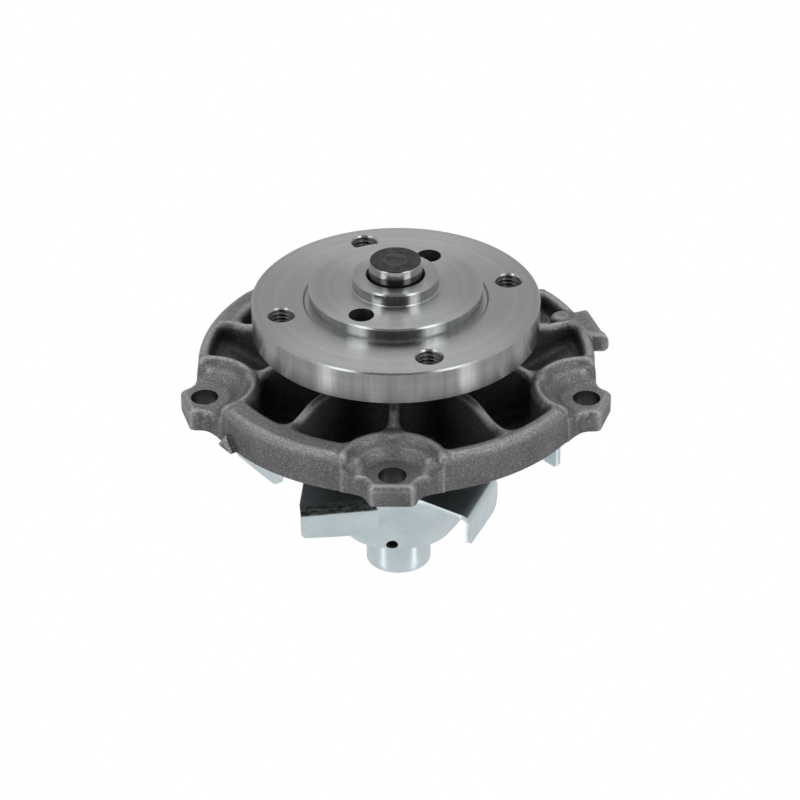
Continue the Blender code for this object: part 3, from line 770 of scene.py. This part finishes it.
def vane_rows(along, total):
    """Offsets (outward, down) of the vane's rows at a share of its length: the bend, then the drop."""
    angles = [math.pi / 2 * i / 7 for i in range(1, 8)]
    bend = [(BEND_R * math.sin(a), BEND_R * (1 - math.cos(a))) for a in angles]
    full = ARM_TOP - SHEET / 2 - VANE_BOTTOM + 0.7 * math.sin(math.pi * min(1, along * 1.1) / 2)
    full -= rounding(VANE_CORNER_R, (1 - along) * total)
    full -= rounding(TIP_CORNER_R, along * total)
    drop = [(BEND_R, BEND_R + (full - BEND_R) * i / 8) for i in range(1, 9)]
    return bend + drop


def rounding(radius, from_end):
    """How much a round corner takes off an edge, at a distance from its end."""
    inside = max(0.0, radius - from_end)
    return radius - math.sqrt(max(0.0, radius**2 - inside**2))


def build_impeller():
    """One sheet: arms, bowl and collar as columns of points round the axis, with the vanes bent down."""
    middle = ARM_TOP - SHEET / 2
    points, faces = [], []
    rows = bowl_rows()
    radial = 7
    outline = []
    for tip in TIPS:
        edge, outward = arm_outline(tip)
        outline += [(p, bent, outward) for p, bent in edge]
    columns = []
    for point, _, _ in outline:
        angle = math.degrees(math.atan2(point.y, point.x))
        column = []
        for i in range(radial):
            p = point.lerp(polar(BOWL_RIM_R - pinch(angle, middle), angle), i / radial)
            column.append(len(points))
            points.append((p.x, p.y, middle))
        for r, z in rows:
            column.append(len(points))
            points.append(tuple(polar(r - pinch(angle, z), angle, z)))
        columns.append(column)
    count = len(columns)
    for j in range(count):
        here, there = columns[j], columns[(j + 1) % count]
        for i in range(len(here) - 1):
            faces.append((here[i], here[i + 1], there[i + 1], there[i]))
    add_vanes(points, faces, outline, columns, middle)
    impeller = mesh_object("impeller_pressing", points, faces)
    solidify = impeller.modifiers.new("sheet", "SOLIDIFY")
    solidify.thickness = SHEET * MM
    solidify.offset = 0
    solidify.use_even_offset = True
    bake(impeller)
    inside, outside = (polar(r, BALANCE_AZIMUTH, BALANCE_Z) for r in (13.0, 27.0))
    carve(impeller, [rod("balance", BALANCE_R, inside, outside, 40)])
    bevel = impeller.modifiers.new("edges", "BEVEL")
    bevel.width = 0.22 * MM
    bevel.segments = 2
    bevel.limit_method = "ANGLE"
    bevel.angle_limit = math.radians(50)
    bevel.use_clamp_overlap = True
    bake(impeller)
    return smooth(impeller, 30)


def add_vanes(points, faces, outline, columns, middle):
    """Bends the strip along each arm's bend line down into a vane."""
    count = len(outline)
    start = 0
    while start < count:
        if not outline[start][1]:
            start += 1
            continue
        end = start
        while end < count and outline[end][1]:
            end += 1
        total = (outline[end - 1][0] - outline[start][0]).length
        strips = []
        for j in range(start, end):
            point, _, outward = outline[j]
            share = (point - outline[start][0]).length / total
            strip = [columns[j][0]]
            for out, down in vane_rows(share, total):
                p = point + outward * out
                strip.append(len(points))
                points.append((p.x, p.y, middle - down))
            strips.append(strip)
        for here, there in zip(strips, strips[1:]):
            for i in range(len(here) - 1):
                faces.append((here[i + 1], here[i], there[i], there[i + 1]))
        start = end


# ---------------------------------------------------------------- materials


class Nodes:
    """Short hand for building the node tree of a material or of the world."""

    def __init__(self, owner):
        owner.use_nodes = True
        self.owner = owner
        self.tree = owner.node_tree

    def link(self, socket, value):
        """Sets a socket to a value, or joins it to another node's output."""
        if isinstance(value, bpy.types.NodeSocket):
            self.tree.links.new(value, socket)
        else:
            socket.default_value = value

    def put(self, node, **inputs):
        for name, value in inputs.items():
            self.link(node.inputs[name.replace("_", " ")], value)

    def add(self, kind, **inputs):
        node = self.tree.nodes.new("ShaderNode" + kind)
        self.put(node, **inputs)
        return node

    def finish(self, **inputs):
        """Sets the material's main shader, and gives the material."""
        self.put(self.tree.nodes["Principled BSDF"], **inputs)
        return self.owner

    def place(self):
        """Where a point is in its object's own frame, in metres."""
        return self.add("TexCoord").outputs["Object"]

    def apart(self, vector):
        return self.add("SeparateXYZ", Vector=vector).outputs

    def facing_up(self):
        """1 on faces that look up, 0 on upright ones and -1 on those that look down."""
        return self.apart(self.add("NewGeometry").outputs["Normal"])["Z"]

    def noise(self, vector, scale, detail=2.0, roughness=0.5):
        node = self.add("TexNoise", Vector=vector, Scale=scale, Detail=detail, Roughness=roughness)
        return node.outputs["Fac"]

    def ramp(self, value, low, high, out_low, out_high, smooth=False):
        """Maps low..high to out_low..out_high, and holds it beyond."""
        node = self.add("MapRange")
        if smooth:
            node.interpolation_type = "SMOOTHSTEP"
        self.put(node, Value=value, From_Min=low, From_Max=high, To_Min=out_low, To_Max=out_high)
        return node.outputs["Result"]

    def mix(self, share, a, b):
        """A colour between two, by share of the second."""
        node = self.add("Mix")
        node.data_type = "RGBA"
        factor_socket, a_socket, b_socket = (node.inputs[i] for i in (0, 6, 7))
        self.link(factor_socket, share)
        self.link(a_socket, a)
        self.link(b_socket, b)
        return node.outputs[2]

    def maths(self, operation, *values):
        node = self.add("Math")
        node.operation = operation
        for socket, value in zip(node.inputs, values):
            self.link(socket, value)
        return node.outputs[0]

    def times(self, a, b):
        return self.maths("MULTIPLY", a, b)

    def azimuth(self, vector):
        """The azimuth of a point or direction, in degrees."""
        axes = self.apart(vector)
        return self.times(self.maths("ARCTAN2", axes["Y"], axes["X"]), 180 / math.pi)

    def from_axis(self, place):
        """(distance from the shaft axis, height) of a point."""
        axes = self.apart(place)
        flat = self.add("CombineXYZ", X=axes["X"], Y=axes["Y"])
        length = self.add("VectorMath")
        length.operation = "LENGTH"
        self.link(length.inputs[0], flat.outputs["Vector"])
        return length.outputs["Value"], axes["Z"]

    def band(self, angle, middle, half, edge, turns=False):
        """1 within half of the middle angle, easing to 0 over the edge."""
        off = self.maths("SUBTRACT", angle, middle)
        if turns:
            off = self.maths("WRAP", off, 180.0, -180.0)
        off = self.maths("ABSOLUTE", off)
        return self.ramp(off, half - edge, half + edge, 1.0, 0.0, smooth=True)

    def bump(self, height, distance, strength=1.0):
        return self.add("Bump", Height=height, Distance=distance, Strength=strength).outputs["Normal"]


def new_material(name):
    return Nodes(bpy.data.materials.new(name))


def grey(value, warm=0.0):
    """A grey, as red, green, blue and alpha; warm moves it a little from blue to red."""
    return (value * (1 + warm), value, value * (1 - warm), 1.0)


def cast_iron():
    """Shot-blasted grey iron: fine pitted grain, bright sparkles, a painted highlight along ridges and
    edges, painted shade in corners and on faces that look down.
    """
    m = new_material("cast_iron")
    place = m.place()
    grain = m.noise(place, 1850, 3.0, 0.7)
    coarse = m.noise(place, 700, 2.0, 0.6)
    pits = m.add("TexVoronoi", Vector=place, Scale=1300.0).outputs["Distance"]
    patches = m.noise(place, 85, 3.0, 0.6)
    attribute = m.add("Attribute")
    attribute.attribute_name = "painted_light_bend"
    painted_light_bend = attribute.outputs["Fac"]
    base = m.mix(m.ramp(patches, 0.3, 0.7, 0, 1), grey(0.13, 0.012), grey(0.185, 0.004))
    base = m.mix(m.ramp(grain, 0.55, 0.7, 0.0, 0.6), base, grey(0.5))
    base = m.mix(m.ramp(grain, 0.44, 0.3, 0.0, 0.6), base, grey(0.045))
    # painted highlight: the iron is lightened along ridges and edges, where the surface stands proud
    painted_edge_highlight = m.times(m.ramp(painted_light_bend, 0.56, 0.8, 0.0, 0.8), m.ramp(grain, 0.4, 0.6, 0.5, 1.0))
    base = m.mix(painted_edge_highlight, base, grey(0.5))
    # painted shade: the iron is darkened in corners and creases, where the surface is hollow
    base = m.mix(m.ramp(painted_light_bend, 0.46, 0.25, 0.0, 0.5), base, grey(0.06))
    # painted shade: faces that look down are darkened almost to black
    base = m.mix(m.ramp(m.facing_up(), -0.3, -0.75, 0.0, 0.75), base, grey(0.02))
    height = m.maths("ADD", m.maths("ADD", grain, m.times(pits, 0.6)), coarse)
    return m.finish(
        Base_Color=base,
        Metallic=0.75,
        Roughness=m.ramp(grain, 0.3, 0.75, 0.55, 0.34),
        Normal=m.bump(height, 0.0002, 0.5),
    )


def milled_iron(name, low, high):
    """Cut faces of the casting, with fine parallel cutter marks."""
    m = new_material(name)
    place = m.place()
    lines = m.add("TexWave", Vector=place, Scale=420.0, Distortion=1.2)
    tone = m.noise(place, 300, 3.0)
    return m.finish(
        Base_Color=m.mix(tone, grey(low), grey(high)),
        Metallic=0.85,
        Roughness=m.ramp(tone, 0.3, 0.7, 0.3, 0.44),
        Normal=m.bump(lines.outputs["Fac"], 0.00003, 0.4),
    )


def turned_steel():
    """Lathe-turned steel: fine rings round the shaft axis that stretch the highlights, and upright dark
    streaks on its round sides that are painted reflections."""
    m = new_material("turned_steel")
    place = m.place()
    radius, height = m.from_axis(place)
    track = m.add("CombineXYZ", X=radius, Y=height).outputs["Vector"]
    rings = m.noise(track, 5200, 2.0, 0.6)
    bands = m.noise(track, 300, 2.0, 0.5)
    stain = m.noise(place, 60, 4.0, 0.6)
    dull, bright = (0.4, 0.414, 0.405, 1), (0.46, 0.474, 0.465, 1)
    tint = m.mix(m.ramp(bands, 0.35, 0.65, 0, 1), dull, bright)
    tint = m.mix(m.ramp(stain, 0.5, 0.78, 0.0, 0.3), tint, (0.33, 0.34, 0.333, 1))
    side = m.ramp(m.maths("ABSOLUTE", m.facing_up()), 0.3, 0.5, 1.0, 0.0)
    turn = m.times(m.azimuth(place), math.pi / 180)
    # painted reflection: dark upright streaks on the round sides, changing round the axis
    painted_reflection_streaks = m.noise(m.add("CombineXYZ", X=turn).outputs["Vector"], 14.0, 3.0, 0.7)
    painted_reflection_streaks = m.times(side, m.ramp(painted_reflection_streaks, 0.42, 0.62, 0.0, 0.4))
    tint = m.mix(painted_reflection_streaks, tint, (0.22, 0.21, 0.21, 1))
    tangent = m.add("Tangent")
    tangent.direction_type = "RADIAL"
    tangent.axis = "Z"
    return m.finish(
        Base_Color=tint,
        Metallic=1.0,
        Roughness=m.maths("SUBTRACT", m.ramp(stain, 0.3, 0.7, 0.24, 0.29), m.times(side, 0.06)),
        Anisotropic=0.85,
        Anisotropic_Rotation=0.25,
        Tangent=tangent.outputs["Tangent"],
        Normal=m.bump(rings, 0.000006, 0.3),
    )


def hole_shade_steel():
    """Drilled and tapped walls: near black as painted shade inside the holes, with a painted highlight on
    the thread crests.
    """
    m = new_material("hole_shade_steel")
    tone = m.noise(m.place(), 700, 3.0)
    crest = m.add("NewGeometry").outputs["Pointiness"]
    # painted shade: the hole walls are kept near black
    base = m.mix(tone, grey(0.05), grey(0.14))
    # painted highlight: thread crests lightened toward grey 0.3
    return m.finish(
        Base_Color=m.mix(m.ramp(crest, 0.52, 0.6, 0.0, 0.8), base, grey(0.3)),
        Metallic=0.9,
        Roughness=m.ramp(tone, 0.3, 0.7, 0.3, 0.45),
    )


def ground_steel():
    """Hardened shaft steel: bright where ground, dark with heat oxide on its end face, and darkened lower
    down its side as painted shade.
    """
    m = new_material("ground_steel")
    place = m.place()
    radius, height = m.from_axis(place)
    on_end = m.ramp(height, (SHAFT_TOP - 0.17) * MM, (SHAFT_TOP - 0.13) * MM, 0.0, 1.0)
    blotch = m.noise(place, 420, 4.0, 0.6)
    oxide = m.mix(m.ramp(blotch, 0.35, 0.7, 0, 1), grey(0.028), grey(0.07))
    off_ring = m.maths("ABSOLUTE", m.maths("SUBTRACT", radius, 3.3 * MM))
    oxide = m.mix(m.ramp(off_ring, 0.0, 0.4 * MM, 0.3, 0.0), oxide, grey(0.2))
    bright = m.mix(m.noise(place, 200), grey(0.45), grey(0.58))
    # painted shade: the side is darkened below its top 2.3 mm, where the boss round it shades it
    painted_shade_low = m.ramp(height, (SHAFT_TOP - 2.7) * MM, (SHAFT_TOP - 2.3) * MM, 1.0, 0.0)
    bright = m.mix(painted_shade_low, bright, grey(0.12))
    return m.finish(
        Base_Color=m.mix(on_end, bright, oxide),
        Metallic=0.95,
        Roughness=m.ramp(on_end, 0.0, 1.0, 0.14, 0.36),
        Normal=m.bump(blotch, 0.00002, 0.5),
    )


def zinc_plate():
    """Clear blue zinc on pressed sheet: soft sheen, faint clouds and specks, a painted highlight on the cut
    edges.
    """
    m = new_material("zinc_plate")
    place = m.place()
    cloud = m.noise(place, 70, 3.0, 0.55)
    fine = m.noise(place, 900, 3.0, 0.6)
    speck = m.noise(place, 1500)
    edge = m.add("NewGeometry").outputs["Pointiness"]
    tint = m.mix(m.ramp(cloud, 0.35, 0.7, 0, 1), (0.64, 0.74, 0.77, 1), (0.79, 0.88, 0.9, 1))
    tint = m.mix(m.ramp(speck, 0.66, 0.74, 0.0, 0.5), tint, (0.25, 0.28, 0.3, 1))
    # painted highlight: sharp edges lightened toward near white
    tint = m.mix(m.ramp(edge, 0.53, 0.6, 0.0, 0.6), tint, (0.88, 0.9, 0.9, 1))
    tint = m.mix(scuffed_bend(m, place, fine), tint, (0.07, 0.075, 0.07, 1))
    return m.finish(
        Base_Color=tint,
        Metallic=0.94,
        Roughness=m.ramp(cloud, 0.3, 0.7, 0.2, 0.33),
        Normal=m.bump(fine, 0.00003, 0.4),
    )


def scuffed_bend(m, place, grain):
    """Where the press scuffed one vane's bend: a dark, speckled band along the outside of the fold."""
    on_vane = m.band(m.azimuth(place), -113, 15, 2)
    in_bend = m.band(m.times(m.apart(place)["Z"], 1 / MM), ARM_TOP - 1.3, 1.1, 0.2)
    upward = m.apart(m.add("TexCoord").outputs["Normal"])["Z"]
    outside = m.ramp(upward, 0.15, 0.3, 0.0, 1.0)
    specks = m.ramp(grain, 0.36, 0.62, 1.0, 0.4)
    return m.times(m.times(on_vane, in_bend), m.times(outside, specks))


def plain_finish(name, low, high, metallic, rough, grain_scale, depth):
    """A finish with mottled tone and a fine surface grain, for pieces inside the pump."""
    m = new_material(name)
    tone = m.noise(m.place(), grain_scale, 3.0, 0.6)
    return m.finish(
        Base_Color=m.mix(m.ramp(tone, 0.3, 0.7, 0, 1), low, high),
        Metallic=metallic,
        Roughness=m.ramp(tone, 0.3, 0.7, rough * 0.85, rough * 1.15),
        Normal=m.bump(tone, depth, 0.4),
    )


# ---------------------------------------------------------------- pieces


def finish_piece(obj, body, node, slot, *materials):
    """Puts a piece on its body in place of its CAD node, with its materials."""
    obj.data.materials.clear()
    for material in materials:
        obj.data.materials.append(material)
    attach(obj, body)
    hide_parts(node)
    return obj


def mark_holes(hub):
    """Gives the walls of the hub's drilled, tapped and bored holes the second material, their painted
    shade.
    """
    tapped = [polar(THREAD_CIRCLE_R, a) for a in THREAD_AZIMUTHS]
    pulled = [polar(PULLER_CIRCLE_R, a) for a in PULLER_AZIMUTHS]
    for face in hub.data.polygons:
        centre = face.center / MM
        flat = Vector((centre.x, centre.y, 0))
        in_tap = centre.z < HUB_FACE - 0.35 and nearest(flat, tapped) < THREAD_SINK_R
        in_hole = centre.z < STEP_TOP - 0.2 and nearest(flat, pulled) < PULLER_R + 0.02
        in_bore = flat.length < SHAFT_R + 0.8 and centre.z < BOSS_TOP - 0.05
        if in_tap or in_hole or in_bore:
            face.material_index = 1


def mark_machined(housing):
    """Gives the casting's milled and bored faces the second material, and its bolt holes the third, a
    near-black iron that is painted shade inside the holes.
    """
    holes = [polar(BOLT_CIRCLE_R, a) for a in BOLTS]
    for face in housing.data.polygons:
        centre = face.center / MM
        flat = Vector((centre.x, centre.y, 0))
        milled = abs(centre.z) < 0.02 and face.normal.z < -0.99
        bored = flat.length < 18.7 and centre.z < TUBE_TOP - 0.05
        if milled or bored:
            face.material_index = 1
        elif abs(face.normal.z) < 0.05 and nearest(flat, holes) < BOLT_HOLE_R + 0.05:
            face.material_index = 2


def nearest(point, others):
    """Distance to the nearest of some points."""
    return min((point - other).length for other in others)


# ---------------------------------------------------------------- stage, light and camera


def build_stage():
    """A white table top: plain to the camera, open from below."""
    half = 900
    floor = mesh_object(
        "floor", [(-half, -half, 0), (half, -half, 0), (half, half, 0), (-half, half, 0)], [(0, 1, 2, 3)]
    )
    floor.location.z = cad_low.z - 0.0002
    m = new_material("floor")
    white = m.add("Emission", Color=(1, 1, 1, 1), Strength=1.0).outputs["Emission"]
    clear = m.add("BsdfTransparent").outputs["BSDF"]
    table = m.add("MixShader", Fac=m.add("NewGeometry").outputs["Backfacing"])
    m.link(table.inputs[1], white)
    m.link(table.inputs[2], clear)
    m.link(m.tree.nodes["Material Output"].inputs["Surface"], table.outputs["Shader"])
    floor.data.materials.append(m.owner)
    floor.visible_diffuse = floor.visible_glossy = floor.visible_shadow = False


# Light round the pump by direction, in degrees, added to the tent's even walls:
# (azimuth, half width, elevation, half height, half of the soft edge, brightness)
LIGHT_PATCHES = (
    (-142, 12, 34, 26, 3, 2.4),
    (-39, 14, 34, 26, 3, 2.4),
    (-147, 6, -32, 14, 2, 0.9),
    (-32, 7, -32, 14, 2, 0.9),
    (90, 180, 90, 20, 6, 0.75),
    (90, 80, 56, 13, 6, 1.2),
)


def build_light():
    """A light tent: even pale walls, a dark gap behind the camera, tall soft boxes to both sides of it
    with their glow on the table, and soft boxes overhead and high at the back. The camera sees white."""
    world = bpy.data.worlds.new("studio")
    bpy.context.scene.world = world
    m = Nodes(world)
    direction = m.add("TexCoord").outputs["Generated"]
    azimuth = m.azimuth(direction)
    elevation = m.times(m.maths("ARCSINE", m.apart(direction)["Z"]), 180 / math.pi)
    gap = m.times(m.band(azimuth, -90, 37, 5, True), m.band(elevation, 34, 36, 4))
    level = m.times(m.ramp(elevation, -12, 12, 0.66, 0.56), m.ramp(gap, 0, 1, 1.0, 0.02))
    for middle, half, up, half_up, edge, bright in LIGHT_PATCHES:
        patch = m.times(m.band(azimuth, middle, half, edge, True), m.band(elevation, up, half_up, edge))
        level = m.maths("ADD", level, m.times(patch, bright))
    warm = m.maths("ADD", level, m.times(gap, 0.012))
    tint = m.add("CombineXYZ", X=warm, Y=level, Z=m.times(level, 1.01)).outputs["Vector"]
    seen = m.add("LightPath").outputs["Is Camera Ray"]
    m.put(m.tree.nodes["Background"], Color=m.mix(seen, tint, (1, 1, 1, 1)))


def build_camera():
    """The photograph's view: the aim point, distance, elevation and roll fitted to the pump's circles."""
    distance, elevation, roll = 845.07 * MM, math.radians(32.567), math.radians(-0.603)
    aim = Vector((0.93, 0, -5.98)) * MM
    ahead = Vector((0, math.cos(elevation), -math.sin(elevation)))
    side = Vector((1, 0, 0))
    up = side.cross(ahead)
    right = side * math.cos(roll) + up * math.sin(roll)
    upward = up * math.cos(roll) - side * math.sin(roll)
    data = bpy.data.cameras.new("camera")
    data.sensor_width = 36.0
    data.lens = 125.15
    camera = bpy.data.objects.new("camera", data)
    bpy.context.scene.collection.objects.link(camera)
    turn = Matrix((right, upward, -ahead)).transposed()
    camera.matrix_world = Matrix.Translation(aim - ahead * distance) @ turn.to_4x4()
    bpy.context.scene.camera = camera


# Finishes of the pieces inside, by material slot:
# (darkest, lightest, metallic, roughness, grain scale, grain depth in metres)
INSIDE_FINISHES = {
    "bearing_steel": (grey(0.45), grey(0.6), 1.0, 0.18, 300, 0.00001),
    "seal_rubber": (grey(0.012), grey(0.03), 0.0, 0.55, 900, 0.00004),
    "brass_cup": ((0.5, 0.36, 0.14, 1), (0.68, 0.52, 0.24, 1), 1.0, 0.3, 200, 0.00002),
    "bellows_rubber": (grey(0.012), grey(0.03), 0.0, 0.65, 700, 0.00005),
    "stainless_pressing": (grey(0.5), grey(0.62), 1.0, 0.3, 250, 0.00002),
    "spring_wire": (grey(0.5), grey(0.65), 1.0, 0.25, 400, 0.00001),
    "carbon": (grey(0.015), grey(0.035), 0.1, 0.4, 800, 0.00002),
    "ceramic": ((0.78, 0.76, 0.7, 1), (0.86, 0.85, 0.8, 1), 0.0, 0.2, 500, 0.00001),
    "seat_rubber": (grey(0.012), grey(0.03), 0.0, 0.65, 700, 0.00005),
    "slinger_rubber": (grey(0.02), grey(0.04), 0.0, 0.6, 700, 0.00004),
    "cage_nylon": ((0.3, 0.2, 0.08, 1), (0.42, 0.3, 0.14, 1), 0.0, 0.45, 600, 0.00003),
    "rolling_steel": (grey(0.6), grey(0.7), 1.0, 0.08, 200, 0.000005),
}


def finish_inside():
    """Gives the CAD pieces inside the pump their finishes and smooth shading."""
    finishes = {slot: plain_finish(slot, *look) for slot, look in INSIDE_FINISHES.items()}
    for part in frame["record"]["subparts"]:
        if part["material_slot"] in finishes:
            node = frame["nodes"][part["node"]]
            node.data.materials.clear()
            node.data.materials.append(finishes[part["material_slot"]])
            smooth(node, 35)


def finish_casting():
    """The housing, shaded by its own field."""
    # the third iron is near black: painted shade inside the bolt holes
    irons = cast_iron(), milled_iron("milled_iron", 0.16, 0.27), milled_iron("bolt_hole_shade_iron", 0.035, 0.075)
    housing = finish_piece(build_housing(), "casing", "pump_housing", "cast_iron", *irons)
    mark_machined(housing)
    mark_painted_light_bend(housing, housing_field)
    true_normals(housing, housing_field)


def finish_rotor():
    """The pieces in sight that turn: hub, shaft and impeller."""
    steels = turned_steel(), hole_shade_steel()
    hub = finish_piece(build_hub(), "rotor", "drive_hub", "machined_steel", *steels)
    mark_holes(hub)
    finish_piece(build_shaft_end(), "rotor", "bearing_shaft", "ground_steel", ground_steel())
    finish_piece(build_impeller(), "rotor", "impeller", "zinc_plate", zinc_plate())


finish_casting()
finish_rotor()
finish_inside()
build_stage()
build_light()
build_camera()
bpy.context.scene.view_settings.view_transform = "Standard"
